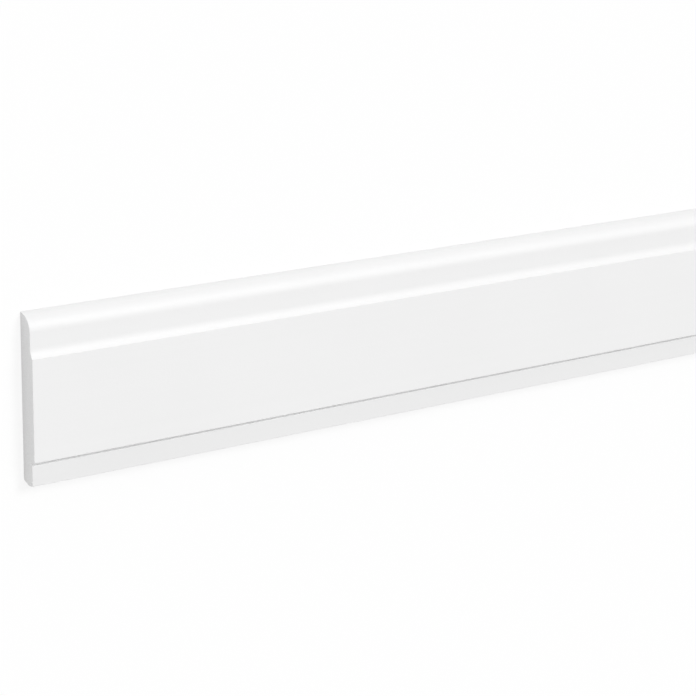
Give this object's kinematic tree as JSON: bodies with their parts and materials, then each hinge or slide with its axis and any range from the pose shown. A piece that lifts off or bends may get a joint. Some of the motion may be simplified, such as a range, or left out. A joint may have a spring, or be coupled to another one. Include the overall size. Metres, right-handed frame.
{
  "type": "decorative moulding",
  "caption": "Straight length of white skirting moulding: rounded top edge, flat fascia, hollow, broad flat face, narrow quirk and set-back plinth band.",
  "frame": {"origin": "middle of the plain back, the face that is glued to the wall, at mid-length and mid-height, on the surface that it lies on", "axes": "+X along the length, +Y from the foot to the rounded top edge, +Z out of the moulded face"},
  "size_m": [2, 0.12, 0.013],
  "materials": {
    "white_polymer": "satin white, ready primed"
  },
  "bodies": {
    "root": {"moulding": "white_polymer"}
  },
  "joints": []
}
